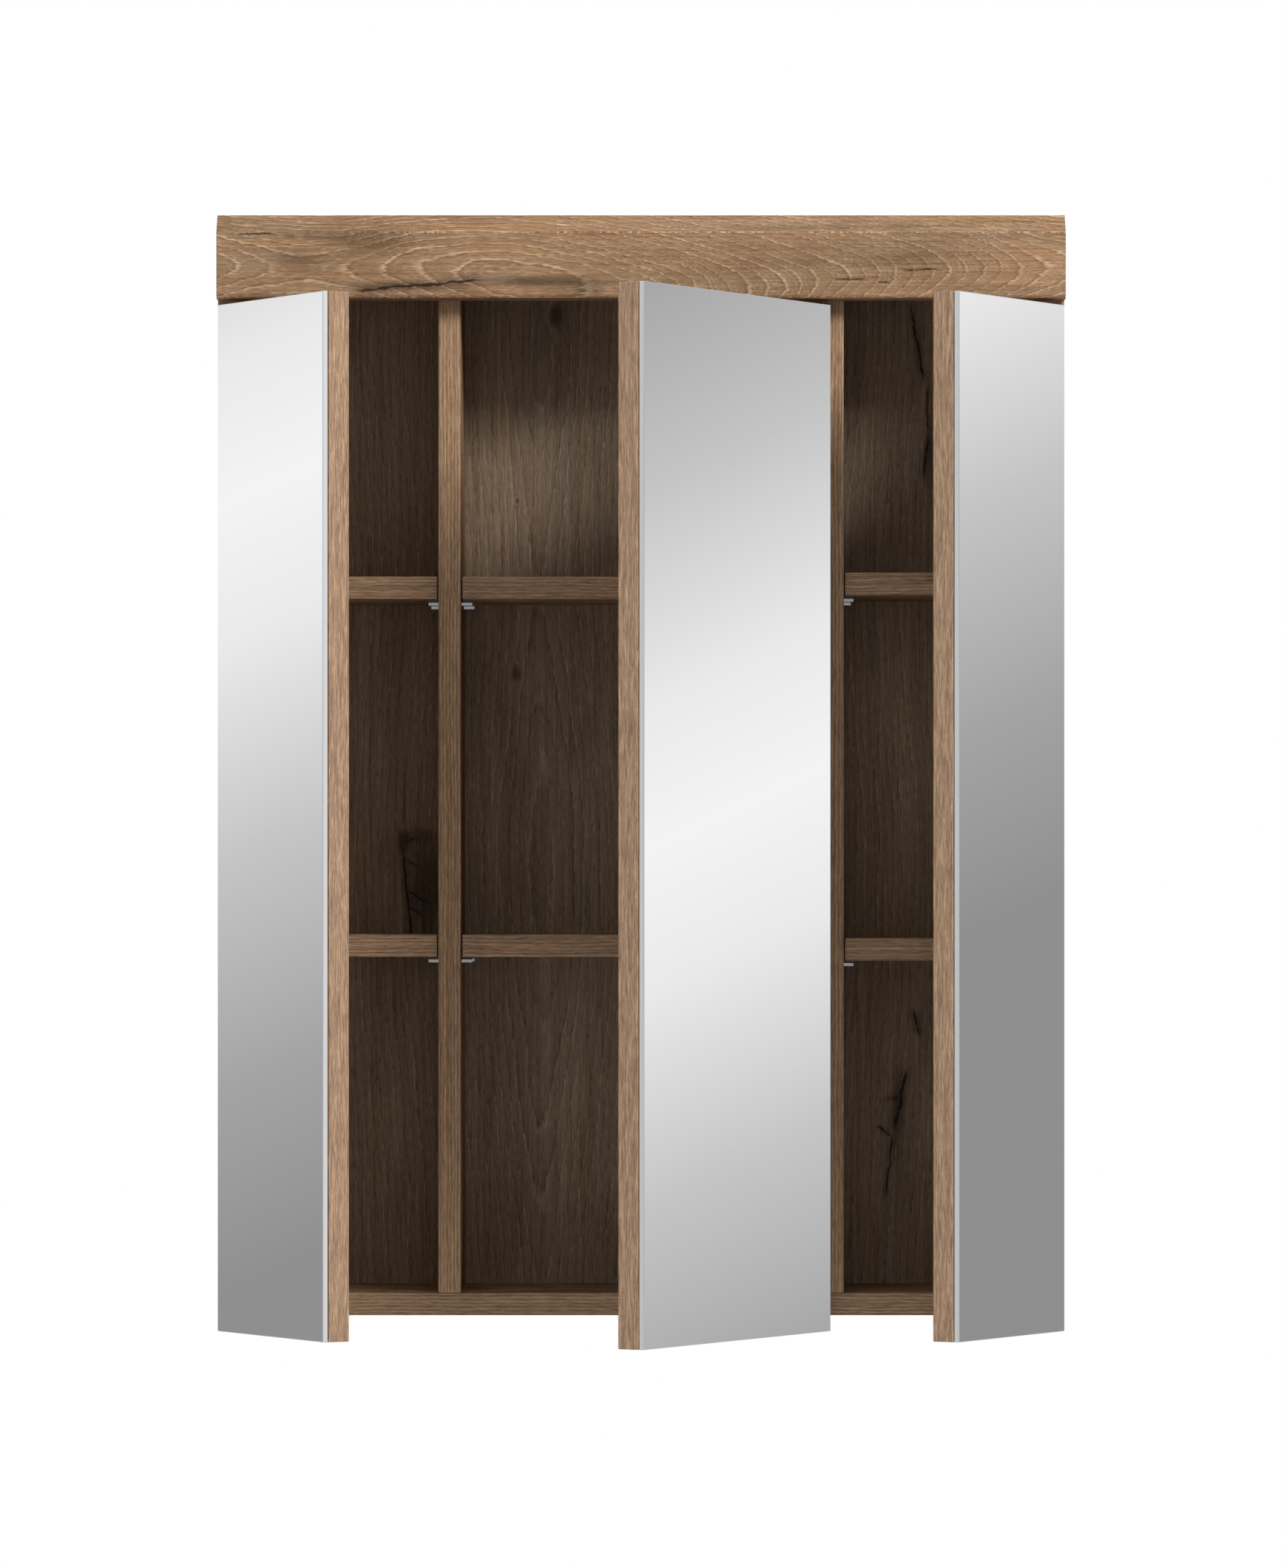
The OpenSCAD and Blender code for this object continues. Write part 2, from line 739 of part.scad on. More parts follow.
// A cross-shaped plate: wings screwed to the panel, and a ridge that the arm straddles
module mounting_plate(door) {
    face = panel_face(door);
    difference() {
        union() {
            block([face, plate_screw_y - plate_wing_w / 2, -plate_screw_z - plate_wing_end],
                  [face + plate_base_t, plate_screw_y + plate_wing_w / 2, plate_screw_z + plate_wing_end]);
            for (z = [-plate_screw_z - plate_wing_end, plate_screw_z + plate_wing_end])
                bar([face, plate_screw_y, z], [face + plate_base_t, plate_screw_y, z], plate_wing_w);
            block([face, ridge_front, -arm_z + side_gap],
                  [face + arm_rise - arm_wall, arm_pin_y + arm_l - 2, arm_z - side_gap]);
        }
        arm_screw_spaces(door);
        plate_screw_spaces(door);
    }
}

function plate_screw_spots(door) = [
    for (z = [-plate_screw_z, plate_screw_z]) [panel_face(door) + plate_base_t, plate_screw_y, z]];

module plate_screw_spaces(door) {
    for (spot = plate_screw_spots(door))
        translate(spot) rotate([0, 90, 0])
            screw_body(plate_screw_l + plate_base_t, plate_screw_d, plate_head_d, plate_head_t);
}

module hinge_plate_holes() {
    for (door = BAYS)
        at_hinge(door)
            for (z = hinge_heights) translate([0, 0, z]) plate_screw_spaces(door);
}

module hinge_plates() {
    color(steel_colour)
        for (door = BAYS)
            at_hinge(door)
                for (z = hinge_heights) translate([0, 0, z]) mounting_plate(door);
}

module hinge_plate_screws() {
    color(steel_colour)
        for (door = BAYS)
            at_hinge(door)
                for (z = hinge_heights, spot = plate_screw_spots(door))
                    translate(spot + [0, 0, z]) rotate([0, 90, 0])
                        flat_screw(plate_screw_l + plate_base_t, plate_screw_d, plate_head_d, plate_head_t);
}

// Puts its children at a cup's mouth on the back of the door, with +Z pointing into the door
module at_cup() {
    translate([cup_x, -door_standoff, 0]) rotate([90, 0, 0]) children();
}

module cup_bore() {
    at_cup() translate([0, 0, -eps]) cylinder(h = cup_depth + 0.3, d = cup_d, $fn = 96);
}

cup_screw_spots = [for (side = [-1, 1]) [cup_screw_offset, side * cup_screw_pitch / 2, -flange_t]];

module cup_screw_spaces() {
    at_cup()
        for (spot = cup_screw_spots)
            translate(spot) rotate([180, 0, 0])
                screw_body(cup_screw_l, wood_screw_d, wood_head_d, wood_head_t);
}

module hinge_cup() {
    outer_d = cup_d - 0.1;
    difference() {
        at_cup()
            difference() {
                union() {
                    cylinder(h = cup_depth, d = outer_d, $fn = 96);
                    translate([0, 0, -flange_t])
                        linear_extrude(flange_t) {
                            circle(d = cup_d + 3, $fn = 96);
                            for (spot = cup_screw_spots)
                                translate([spot.x, spot.y]) circle(d = 12, $fn = 48);
                            translate([0, -cup_screw_pitch / 2])
                                square([2 * cup_screw_offset, cup_screw_pitch]);
                        }
                }
                intersection() {
                    translate([0, 0, -1])
                        cylinder(h = cup_depth - cup_wall + 1, d = outer_d - 2 * cup_wall, $fn = 96);
                    cube([cup_d, 2 * cup_half, 4 * cup_depth], center = true);
                }
            }
        bar(cup_pin - [0, 0, cup_d], cup_pin + [0, 0, cup_d], pin_d);
        cup_screw_spaces();
    }
}

module hinge_cups(door) {
    color(steel_colour)
        on_door(door)
            for (z = hinge_heights) translate([0, 0, z]) hinge_cup();
}

module cup_pins(door) {
    half = cup_half + 2.5;
    color(steel_colour)
        on_door(door)
            for (z = hinge_heights)
                translate([0, 0, z]) bar(cup_pin - [0, 0, half], cup_pin + [0, 0, half], pin_d);
}

module cup_screws(door) {
    color(steel_colour)
        on_door(door)
            for (z = hinge_heights) translate([0, 0, z])
                at_cup()
                    for (spot = cup_screw_spots)
                        translate(spot) rotate([180, 0, 0])
                            flat_screw(cup_screw_l, wood_screw_d, wood_head_d, wood_head_t);
}

left_side_panel();
right_side_panel();
top_panel();
bottom_panel();
left_partition();
right_partition();
back_panel();
crown_board();
crown_angles();
shelf(LEFT, LOW);  // left_lower_shelf
shelf(LEFT, HIGH);  // left_upper_shelf
shelf(MIDDLE, LOW);  // middle_lower_shelf
shelf(MIDDLE, HIGH);  // middle_upper_shelf
shelf(RIGHT, LOW);  // right_lower_shelf
shelf(RIGHT, HIGH);  // right_upper_shelf
shelf_supports(LEFT);  // left_shelf_supports
shelf_supports(MIDDLE);  // middle_shelf_supports
shelf_supports(RIGHT);  // right_shelf_supports
shelf_support_pads();
cam_locks();
cam_bolts();
dowels();
partition_screws();
hanger_plates();
bracket_screws();
hinge_arms();
hinge_arm_pins();
hinge_plates();
hinge_plate_screws();
hinge_arm_screws();
door_board(LEFT);  // left_door_board
door_mirror(LEFT);  // left_door_mirror
mirror_tape(LEFT);  // left_mirror_tape
bumpers(LEFT);  // left_bumpers
hinge_cups(LEFT);  // left_hinge_cups
cup_pins(LEFT);  // left_cup_pins
cup_screws(LEFT);  // left_cup_screws
hinge_links(LEFT);  // left_hinge_links
door_board(MIDDLE);  // middle_door_board
door_mirror(MIDDLE);  // middle_door_mirror
mirror_tape(MIDDLE);  // middle_mirror_tape
bumpers(MIDDLE);  // middle_bumpers
hinge_cups(MIDDLE);  // middle_hinge_cups
cup_pins(MIDDLE);  // middle_cup_pins
cup_screws(MIDDLE);  // middle_cup_screws
hinge_links(MIDDLE);  // middle_hinge_links
door_board(RIGHT);  // right_door_board
door_mirror(RIGHT);  // right_door_mirror
mirror_tape(RIGHT);  // right_mirror_tape
bumpers(RIGHT);  // right_bumpers
hinge_cups(RIGHT);  // right_hinge_cups
cup_pins(RIGHT);  // right_cup_pins
cup_screws(RIGHT);  // right_cup_screws
hinge_links(RIGHT);  // right_hinge_links
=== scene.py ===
"""An oak wall cabinet with three mirrored doors, dressed for a studio picture"""

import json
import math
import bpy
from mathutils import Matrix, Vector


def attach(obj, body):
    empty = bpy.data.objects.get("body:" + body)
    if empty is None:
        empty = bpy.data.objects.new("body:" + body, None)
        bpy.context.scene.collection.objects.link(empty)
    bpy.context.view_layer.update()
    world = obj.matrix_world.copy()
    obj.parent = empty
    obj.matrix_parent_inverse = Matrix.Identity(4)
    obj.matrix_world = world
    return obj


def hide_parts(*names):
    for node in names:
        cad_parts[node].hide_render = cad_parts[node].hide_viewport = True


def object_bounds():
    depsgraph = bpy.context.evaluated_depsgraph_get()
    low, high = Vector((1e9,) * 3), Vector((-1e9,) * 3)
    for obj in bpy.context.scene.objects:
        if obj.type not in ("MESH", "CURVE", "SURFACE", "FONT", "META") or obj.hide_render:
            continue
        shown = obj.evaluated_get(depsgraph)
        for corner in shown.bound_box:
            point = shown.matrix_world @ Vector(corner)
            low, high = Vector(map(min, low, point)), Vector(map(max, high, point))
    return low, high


bl_info = {
    "name": "Mirror Cabinet",
    "version": (1, 0, 0),
    "blender": (4, 5, 0),
    "location": "View3D > Sidebar > Cabinet",
    "description": "Dresses a mirror cabinet in oak, mirror glass and plated steel",
    "category": "Object",
}

import bmesh
import bpy
from bpy.props import FloatProperty, FloatVectorProperty, PointerProperty
from mathutils import Vector

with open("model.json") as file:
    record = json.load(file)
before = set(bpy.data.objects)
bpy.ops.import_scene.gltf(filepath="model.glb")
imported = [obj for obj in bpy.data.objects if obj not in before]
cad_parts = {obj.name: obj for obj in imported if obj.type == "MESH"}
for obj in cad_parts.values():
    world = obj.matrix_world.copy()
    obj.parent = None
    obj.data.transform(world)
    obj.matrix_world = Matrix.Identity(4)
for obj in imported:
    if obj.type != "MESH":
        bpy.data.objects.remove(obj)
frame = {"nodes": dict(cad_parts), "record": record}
CAD_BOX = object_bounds()

DOORS = ("left", "middle", "right")
BODY_OF = {
    node: body
    for body, nodes in frame["record"]["behaviour"]["bodies"].items()
    for node in nodes
}

MM = 0.001
WELD_WITHIN = 0.002 * MM
FLAT_WITHIN = math.radians(0.5)
SHORTEST_EASED = 9 * MM  # Shorter edges, such as those of bores, stay sharp
MIRROR_SHARE = 0.937  # Share of the light that a mirror gives back


def colour_property(name, description, default):
    return FloatVectorProperty(
        name=name, description=description, subtype="COLOR", size=3, min=0, max=1, default=default
    )


def length_property(name, description, default):
    return FloatProperty(
        name=name, description=description, unit="LENGTH", default=default, precision=4
    )


class CabinetSizes(bpy.types.PropertyGroup):
    """Sizes of the finished edges, and of the studio"""

    board_ease: length_property("Board easing", "Rounding of the boards' edges", 0.7 * MM)
    glass_arris: length_property("Glass arris", "Ground corner of a mirror's edges", 0.4 * MM)
    floor_drop: length_property("Floor drop", "Height of the cabinet above the floor", 1.6)
    camera_distance: length_property("Camera distance", "From the camera to the wall", 5.9545)
    camera_rise: length_property("Camera rise", "Camera height above the cabinet's feet", 0.3186)


class CabinetColours(bpy.types.PropertyGroup):
    """Colours of the boards, the glass edges and the metal"""

    oak_mid: colour_property("Oak", "Wood between the rings", (0.300, 0.184, 0.106))
    oak_dark: colour_property("Dark oak", "Late wood in the rings", (0.190, 0.112, 0.062))
    oak_lime: colour_property("Limed pores", "Pale filler in open pores", (0.580, 0.415, 0.265))
    oak_split: colour_property("Split oak", "Knots and drying cracks", (0.030, 0.018, 0.012))
    band_light: colour_property("Light band", "Narrow faces, light streaks", (0.42, 0.272, 0.168))
    band_dark: colour_property("Dark band", "Narrow faces, dark streaks", (0.25, 0.148, 0.086))
    glass_edge: colour_property("Glass edge", "Ground edge of a mirror", (0.58, 0.58, 0.56))
    nickel: colour_property("Nickel", "Plating of the hinges", (0.66, 0.65, 0.62))
    zinc: colour_property("Zinc", "Plating of screws and supports", (0.62, 0.63, 0.65))


class Wire:
    """A shader socket on which sums are done as in Python"""

    def __init__(self, recipe, socket):
        self.recipe = recipe
        self.socket = socket

    def math(self, operation, other=0.0, swapped=False):
        pair = (other, self) if swapped else (self, other)
        return self.recipe.node("ShaderNodeMath", {"operation": operation}, dict(enumerate(pair)))

    def __add__(self, other):
        return self.math("ADD", other)

    def __sub__(self, other):
        return self.math("SUBTRACT", other)

    def __rsub__(self, other):
        return self.math("SUBTRACT", other, swapped=True)

    def __mul__(self, other):
        return self.math("MULTIPLY", other)

    def __truediv__(self, other):
        return self.math("DIVIDE", other)

    def __pow__(self, other):
        return self.math("POWER", other)

    def __abs__(self):
        return self.math("ABSOLUTE")

    __radd__ = __add__
    __rmul__ = __mul__


class Recipe:
    """A node tree that is being filled, either a material's or the world's"""

    def __init__(self, tree):
        self.tree = tree
        tree.nodes.clear()

    def node(self, kind, settings=None, inputs=None, output=0):
        made = self.tree.nodes.new(kind)
        for key, value in (settings or {}).items():
            if key == "stops":
                ramp = made.color_ramp.elements
                while len(ramp) < len(value):
                    ramp.new(0.5)
                for element, (place, colour) in zip(ramp, value):
                    element.position = place
                    element.color = (*colour, 1)
            else:
                setattr(made, key, value)
        for key, value in (inputs or {}).items():
            if isinstance(value, Wire):
                self.tree.links.new(value.socket, made.inputs[key])
            else:
                made.inputs[key].default_value = value
        return Wire(self, made.outputs[output]) if made.outputs else None

    def coordinates(self):
        return self.node("ShaderNodeTexCoord", output="Object")

    def split(self, vector):
        made = self.node("ShaderNodeSeparateXYZ", inputs={0: vector})
        return [Wire(self, socket) for socket in made.socket.node.outputs]

    def join(self, x, y, z):
        return self.node("ShaderNodeCombineXYZ", inputs={0: x, 1: y, 2: z})

    def grey(self, value):
        return self.join(value, value, value)

    def noise(self, vector, scale=1.0, detail=3.0, roughness=0.55):
        values = {"Vector": vector, "Scale": scale, "Detail": detail, "Roughness": roughness}
        return self.node("ShaderNodeTexNoise", inputs=values)

    def grain_noise(self, board, fine, long, shift=0.0, **character):
        """Noise drawn out along the grain, with its waves per metre across the grain and along it.
        A shift along the grain parts two noises that are otherwise alike."""
        along, across, deep = board
        reach = along * long + shift if shift else along * long
        return self.noise(self.join(across * fine, deep * fine, reach), **character)

    def between(self, value, low, high):
        """0 below low, 1 above high and smooth between them"""
        return self.node(
            "ShaderNodeMapRange",
            {"interpolation_type": "SMOOTHSTEP"},
            {0: value, 1: low, 2: high, 3: 0.0, 4: 1.0},
        )

    def near(self, value, place, reach):
        """1 at a place, falling smoothly to 0 at its reach"""
        return 1.0 - self.between(abs(value - place), 0.0, reach)

    def spot(self, first, second, reach, spread, cloud):
        """A soft spot of two half sizes, 1 in its middle, with a cloudy edge"""
        first, second = first / reach, second / spread
        away = (first * first + second * second) ** 0.5 + (cloud - 0.5) * 1.6
        return 1.0 - self.between(away, 0.15, 1.15)

    def blend(self, share, first, second, mode="MIX"):
        return self.node(
            "ShaderNodeMix",
            {"data_type": "RGBA", "blend_type": mode, "clamp_result": True},
            {0: share, 6: first, 7: second},
            output=2,
        )

    def bump(self, height, distance, strength):
        values = {"Height": height, "Distance": distance, "Strength": strength}
        return self.node("ShaderNodeBump", inputs=values)

    def surface(self, **inputs):
        names = {key.replace("_", " "): value for key, value in inputs.items()}
        shader = self.node("ShaderNodeBsdfPrincipled", inputs=names)
        self.node("ShaderNodeOutputMaterial", inputs={"Surface": shader})


def new_material(name):
    made = bpy.data.materials.new(name)
    made.use_nodes = True
    return made, Recipe(made.node_tree)


def rgba(colour, shade=1.0):
    """A colour times a shade, which is one number or one for each of red, green and blue"""
    shades = (shade,) * 3 if isinstance(shade, float) else shade
    return (*(part * by for part, by in zip(colour, shades)), 1.0)


def linear(value):
    """Linear light of a screen grey from 0 to 255"""
    share = value / 255
    return share / 12.92 if share <= 0.04045 else ((share + 0.055) / 1.055) ** 2.4


def grain_axes(r, grain, depth):
    """Coordinates along the grain, across it on the board's face, and into the board"""
    axes = dict(zip("XYZ", r.split(r.coordinates())))
    along = axes.pop(grain)
    deep = axes.pop(depth)
    return along, next(iter(axes.values())), deep


def ring_field(r, board, heart, lean, hills, sags, knots):
    """Distance from the heart of the trunk, which the rings follow, and the knots' darkness"""
    along, across, deep = board
    sway = r.grain_noise(board, 3.0, 2.2, detail=1.0) - 0.5
    waves = r.join(across * 30.0 + 7.0, deep * 30.0, along * 13.0)
    drift = r.noise(waves, detail=4.0, roughness=0.5) - 0.5

    side = across - heart[0] + sway * 0.02
    for place, reach, amount in sags:
        side = side + r.near(along, place, reach) * amount
    core = deep * 0.8 - heart[1]
    field = (side * side + core * core) ** 0.5 + along * lean + drift * 0.009
    for place, reach, amount in hills:
        field = field + r.near(along, place, reach) * amount

    darkness = None
    for place, reach in knots:
        gap_across = across - place[0] + drift * reach
        gap_along = (along - place[1]) * 0.6  # A knot is longer along the grain
        away = (gap_across * gap_across + gap_along * gap_along) ** 0.5
        near = 1.0 - r.between(away, 0.0, reach * 2.5)
        darkness = near if darkness is None else darkness + near
        field = field + near * 0.005
    return field, darkness


def ring_marks(r, board, phase, teeth):
    """Pale pores at the start of every ring, thin pale lines between, and darker late wood"""
    luck = r.node("ShaderNodeTexWhiteNoise", {"noise_dimensions": "1D"}, {"W": phase.math("FLOOR")})
    ring = phase.math("FRACT")
    fading = 1.0 - r.between(ring, luck * 0.06 + 0.06, luck * 0.12 + 0.17)
    worn = r.between(r.grain_noise(board, 60.0, 34.0, detail=2.0), 0.36, 0.58)
    pores = r.between(ring, 0.0, 0.04) * fading * (luck * 0.45 + 0.35) * (worn * 0.6 + 0.4)
    third = (phase * 3.0 + teeth * 0.8).math("FRACT")
    thin = r.between(third, 0.0, 0.10) * (1.0 - r.between(third, 0.16, 0.42)) * worn
    late = r.between(ring, 0.45, 0.95) * (0.8 - luck * 0.6) + r.between(ring, 0.84, 0.98) * 0.8
    return pores, thin, late


def fibre_shade(r, board, fibre, streaking):
    """Light and dark of the fibres, with the same average for any streaking"""
    streak = r.grain_noise(board, 360.0, 6.0, shift=5.0, roughness=0.7)
    grit = r.grain_noise(board, 900.0, 130.0, shift=3.0, detail=2.0, roughness=0.8)
    level = 0.065 - streaking * 0.65
    return fibre * (0.6 + streaking * 0.5) + grit * 1.25 + streak * (streaking * 0.8) + level


def crack_mask(r, board, cracks):
    """Dark cracks, each as (across, start, end, slope, width), its place across at its start"""
    along, across, _ = board
    waves = r.join(along * 55.0, across * 6.0, 0.0)
    wriggle = (r.noise(waves, detail=5.0, roughness=0.7) - 0.5) * 0.0060
    ragged = r.noise(r.join(along * 170.0, across * 30.0, 4.0))
    dark = None
    for place, start, end, slope, width in cracks:
        length = end - start
        taper = min(0.012, length * 0.3)
        calm = min(1.0, length / 0.05)  # A short crack wriggles less
        away = abs(across - ((along - start) * slope + place) - wriggle * calm)
        ending = 1.0 - r.between(along, end - taper, end)
        there = r.between(along, start, start + taper) * ending
        opening = there * (ragged * 2.8 - 0.8) * width
        gap = 1.0 - r.between(away - opening, 0.0, 0.0005)
        halo = (1.0 - r.between(away, width, width * 5.0)) * there * 0.40
        mark = (gap * there).math("MAXIMUM", halo)
        dark = mark if dark is None else dark.math("MAXIMUM", mark)
    return dark


def oak(name, grain, depth, shade=1.0, heart=(0.05, 0.02), lean=0.03, rings=200.0, hills=(),
        sags=(), knots=(), cracks=(), stains=(), washes_and_shade=(), liming=1.0, streaking=0.6, arrises=()):
    """Flat-sawn limed oak. Rings are cones round a heart below the face, so many to the metre, and
    pale filler lies in the open pores of every ring. Hills stretch the rings along the grain and
    sags bend the heart across it, both as (place, reach, amount). Knots are ((across, along),
    reach). Stains are dark. Washes make patches lighter or darker, and some of them are painted
    shade. Both are (along, across, reach along, reach across, amount). Arrises are edges with a
    painted highlight of pale crumbs, broken by dark crumbs, as (across, depth)."""
    colours = bpy.context.scene.cabinet_colours
    made, r = new_material(name)
    board = grain_axes(r, grain, depth)
    along, across, deep = board
    field, knot_dark = ring_field(r, board, heart, lean, hills, sags, knots)
    teeth = r.grain_noise(board, 1000.0, 80.0, detail=1.0) - 0.5
    pores, thin, late = ring_marks(r, board, field * rings + teeth * 0.5, teeth)
    fleck = r.between(r.grain_noise(board, 1000.0, 60.0, shift=9.0, detail=1.0), 0.60, 0.74)
    fibre = r.grain_noise(board, 700.0, 14.0, detail=4.0, roughness=0.7)
    cloud = r.grain_noise(board, 26.0, 7.0)

    mid, dark, lime, split = (
        rgba(colour, shade)
        for colour in (colours.oak_mid, colours.oak_dark, colours.oak_lime, colours.oak_split)
    )
    tone = r.blend(late * 0.47 + r.between(cloud, 0.52, 0.32) * 0.45, mid, dark)
    tone = r.blend((pores.math("MAXIMUM", thin * 0.29) + fleck * 0.32) * liming, tone, lime)

    weave = fibre_shade(r, board, fibre, streaking)
    # Washes lighten or darken patches of wood, and some darken it as painted shade
    for place, height, reach, spread, amount in washes_and_shade:
        wash_and_shade = r.spot(along - place, across - height, reach, spread, cloud)
        weave = weave * (wash_and_shade * amount + 1.0)
    warmth = (r.grain_noise(board, 110.0, 5.0, shift=11.0) - 0.5) * 0.30
    warm_weave = r.join(weave * (1.0 + warmth), weave, weave * (1.0 - warmth))
    tone = r.blend(1.0, tone, warm_weave, "MULTIPLY")

    for place, height, reach, spread, amount in stains:
        stain = r.spot(along - place, across - height, reach, spread, cloud)
        tone = r.blend(stain * amount, tone, split)
    if knots:
        tone = r.blend(r.between(knot_dark, 0.25, 0.95) * 0.6, tone, split)
    relief = fibre * 0.5 - pores * 0.4
    if cracks:
        opened = crack_mask(r, board, cracks)
        tone = r.blend(opened * 0.92, tone, split)
        relief = relief - opened * 1.5
    # Painted highlight along each arris: a dotted pale line, broken by dark crumbs
    for height, front in arrises:
        crumbs = r.noise(r.join(along * 420.0, height * 90.0, 2.0), detail=2.0)
        patches = r.noise(r.join(along * 16.0, height * 90.0, 8.0), detail=2.0)
        away = abs(across - height) + abs(deep - front)
        line = 1.0 - r.between(away, 0.6 * MM, 1.1 * MM)
        line = line * (r.between(patches, 0.42, 0.60) * 0.75 + 0.25)
        tone = r.blend(line * r.between(crumbs, 0.48, 0.60) * 0.8, tone, lime)
        tone = r.blend(line * r.between(crumbs, 0.40, 0.32) * 0.6, tone, split)
    r.surface(
        Base_Color=tone,
        Roughness=0.60 + (1.0 - fibre) * 0.16,
        Specular_IOR_Level=0.0,
        Normal=r.bump(relief, 0.00022, 0.6),
    )
    return made


def oak_band(name, grain, shade=1.0, dash=2.5, lines=0.9):
    """Straight-grained band on the narrow faces of a board. A larger dash gives shorter streaks,
    and lines is the strength of the dark lines that run its whole length."""
    colours = bpy.context.scene.cabinet_colours
    made, r = new_material(name)
    along, first, second = grain_axes(r, grain, "Y")
    bend = r.noise(r.join(along * 7.0, first * 20.0, second * 20.0), detail=2.0) * 0.004
    waves = r.join(along * dash, (first + bend) * 620.0, (second + bend) * 620.0)
    wide = r.noise(waves, detail=4.0, roughness=0.7)
    fine = r.noise(r.join(along * 90.0, first * 1100.0, second * 1100.0), roughness=0.75)
    ring = ((first + second + bend * 1.5) * 400.0 + wide * 1.6).math("FRACT")
    dark = r.between(ring, 0.30, 0.75) * (1.0 - r.between(ring, 0.86, 1.0)) * lines
    pale = (r.between(wide, 0.34, 0.64) * 0.8 + 0.2) * (1.0 - dark)
    tone = r.blend(pale, rgba(colours.band_dark, shade), rgba(colours.band_light, shade))
    tone = r.blend(1.0, tone, r.grey(fine * 2.1 - 0.05), "MULTIPLY")
    r.surface(
        Base_Color=tone,
        Roughness=0.60 + (1.0 - fine) * 0.16,
        Specular_IOR_Level=0.0,
        Normal=r.bump(fine, 0.00015, 0.5),
    )
    return made


def mirror_silver():
    made, r = new_material("mirror_silver")
    silver = (MIRROR_SHARE, MIRROR_SHARE, 0.939, 1)
    r.surface(Base_Color=silver, Metallic=1.0, Roughness=0.0)
    return made


def ground_glass():
    colours = bpy.context.scene.cabinet_colours
    made, r = new_material("ground_glass_edge")
    x, y, z = r.split(r.coordinates())
    scratch = r.noise(r.join(x * 300.0, y * 300.0, z * 12.0))
    tone = r.blend(scratch * 0.25, rgba(colours.glass_edge), rgba(colours.glass_edge, 0.9))
    r.surface(Base_Color=tone, Roughness=0.35 + scratch * 0.2)
    return made


def backing_paint():
    made, r = new_material("mirror_backing_paint")
    speck = r.noise(r.coordinates(), scale=900.0, detail=2.0)
    tone = r.blend(speck, (0.20, 0.21, 0.22, 1), (0.27, 0.28, 0.29, 1))
    r.surface(Base_Color=tone, Roughness=0.6)
    return made


def plated(name, colour, roughness):
    """Plated steel with faint rolling marks"""
    made, r = new_material(name)
    x, y, z = r.split(r.coordinates())
    marks = r.noise(r.join(x * 240.0, y * 60.0, z * 900.0))
    cloud = r.noise(r.coordinates(), scale=120.0, detail=2.0)
    r.surface(
        Base_Color=r.blend(cloud * 0.5, rgba(colour), rgba(colour, 0.82)),
        Metallic=1.0,
        Roughness=roughness + (marks - 0.5) * 0.16,
        Normal=r.bump(marks, 0.00004, 0.5),
    )
    return made


def soft_plastic(name, colour, roughness):
    made, r = new_material(name)
    speck = r.noise(r.coordinates(), scale=1400.0, detail=2.0)
    r.surface(
        Base_Color=r.blend(speck * 0.6, rgba(colour), rgba(colour, 0.75)),
        Roughness=roughness,
        Normal=r.bump(speck, 0.00005, 0.6),
    )
    return made


def merged_copy(node):
    """A mesh that starts as a copy of a CAD node, its triangles joined into flat faces"""
    shape = bmesh.new()
    shape.from_mesh(frame["nodes"][node].data)
    bmesh.ops.remove_doubles(shape, verts=shape.verts, dist=WELD_WITHIN)
    bmesh.ops.dissolve_limit(
        shape,
        angle_limit=FLAT_WITHIN,
        use_dissolve_boundaries=False,
        verts=shape.verts,
        edges=shape.edges,
    )
    return shape


def finish_piece(shape, name, node, materials):
    """Puts a finished mesh in the place of its CAD node, on the same body"""
    mesh = bpy.data.meshes.new(name)
    shape.to_mesh(mesh)
    shape.free()
    piece = bpy.data.objects.new(name, mesh)
    piece.visible_glossy = False
    bpy.context.scene.collection.objects.link(piece)
    for material in materials:
        mesh.materials.append(material)
    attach(piece, BODY_OF[node])
    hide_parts(node)
    return piece


def outer_edges(shape):
    """The long, square edges of a board"""
    found = []
    for edge in shape.edges:
        if len(edge.link_faces) != 2 or edge.calc_length() < SHORTEST_EASED:
            continue
        first, second = edge.link_faces
        if first.normal.dot(second.normal) < 0.8 and edge.is_convex:
            found.append(edge)
    return found


def ease_edges(shape, edges, width, segments):
    bmesh.ops.bevel(
        shape,
        geom=edges,
        offset=width,
        offset_type="OFFSET",
        segments=segments,
        profile=0.5,
        affect="EDGES",
        material=-1,
        clamp_overlap=True,
    )
    shape.normal_update()


def dress(nodes, material):
    """Gives CAD nodes whose shape stays a finish of their own"""
    for node in nodes:
        piece = frame["nodes"][node]
        piece.visible_glossy = False
        piece.data.materials.clear()
        piece.data.materials.append(material)


def eased_board(node, face_finish, band_finish):
    """A board with eased edges. Its wide faces take one finish and its narrow ones the other."""
    shape = merged_copy(node)
    wide = max(shape.faces, key=lambda face: face.calc_area()).normal.copy()
    ease_edges(shape, outer_edges(shape), bpy.context.scene.cabinet_sizes.board_ease, 2)
    for face in shape.faces:
        face.material_index = 0 if abs(face.normal.dot(wide)) > 0.8 else 1
    return finish_piece(shape, node + "_eased", node, [face_finish, band_finish])


def arrised_mirror(door, silver, edge, paint):
    """A mirror with ground corners, silver in front, painted behind and bare glass round it"""
    node = door + "_door_mirror"
    shape = merged_copy(node)
    front = max(shape.faces, key=lambda face: face.calc_area() * -face.normal.y).normal.copy()
    ease_edges(shape, list(shape.edges), bpy.context.scene.cabinet_sizes.glass_arris, 1)
    for face in shape.faces:
        facing = face.normal.dot(front)
        face.material_index = 0 if facing > 0.3 else 2 if facing < -0.3 else 1
    finish_piece(shape, door + "_mirror_glass", node, [silver, edge, paint])


